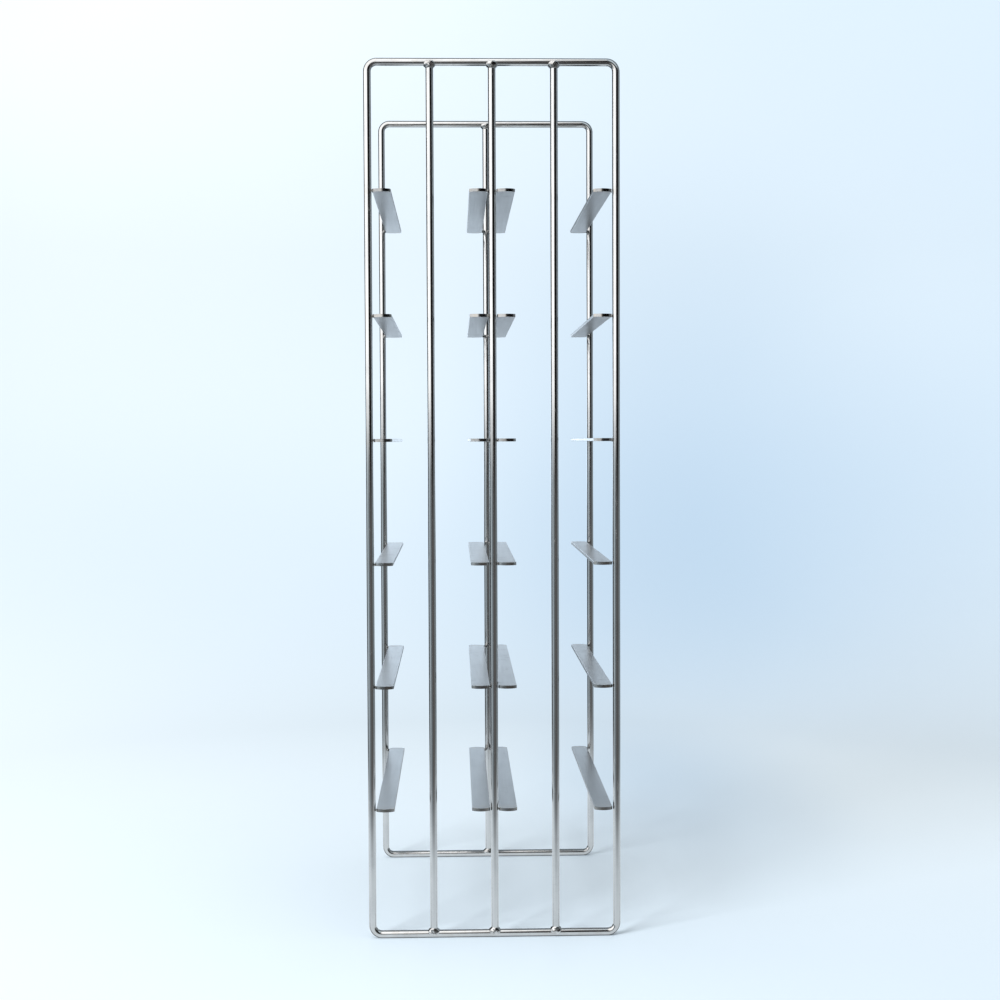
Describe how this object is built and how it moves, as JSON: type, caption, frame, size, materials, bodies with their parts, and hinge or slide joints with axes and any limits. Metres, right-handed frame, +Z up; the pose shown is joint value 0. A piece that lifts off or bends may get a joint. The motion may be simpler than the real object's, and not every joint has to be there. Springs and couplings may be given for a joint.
{
  "type": "test tube rack",
  "caption": "Tall welded stainless wire rack with levels of paired flat runners between two bar frames, open at the rear so test tube racks slide in.",
  "frame": {"origin": "on the floor, in the middle of the footprint", "axes": "+X across the rack's width, +Y from the five-bar front face towards the open rear face, +Z up"},
  "size_m": [0.168, 0.2128, 0.581],
  "materials": {
    "round_bar": "bright drawn stainless steel round bar",
    "flat_bar": "satin brushed stainless steel flat bar",
    "weld": "cleaned stainless steel weld, rippled, with slight heat tint"
  },
  "bodies": {
    "root": {"front_frame": "round_bar", "rear_frame": "round_bar", "front_left_upright": "round_bar", "front_centre_upright": "round_bar", "front_right_upright": "round_bar", "rear_centre_upright": "round_bar", "left_runner_1": "flat_bar", "left_runner_2": "flat_bar", "left_runner_3": "flat_bar", "left_runner_4": "flat_bar", "left_runner_5": "flat_bar", "left_runner_6": "flat_bar", "centre_left_runner_1": "flat_bar", "centre_left_runner_2": "flat_bar", "centre_left_runner_3": "flat_bar", "centre_left_runner_4": "flat_bar", "centre_left_runner_5": "flat_bar", "centre_left_runner_6": "flat_bar", "centre_right_runner_1": "flat_bar", "centre_right_runner_2": "flat_bar", "centre_right_runner_3": "flat_bar", "centre_right_runner_4": "flat_bar", "centre_right_runner_5": "flat_bar", "centre_right_runner_6": "flat_bar", "right_runner_1": "flat_bar", "right_runner_2": "flat_bar", "right_runner_3": "flat_bar", "right_runner_4": "flat_bar", "right_runner_5": "flat_bar", "right_runner_6": "flat_bar", "front_upright_welds": "weld", "rear_upright_welds": "weld", "front_runner_welds": "weld", "rear_runner_welds": "weld"}
  },
  "joints": []
}
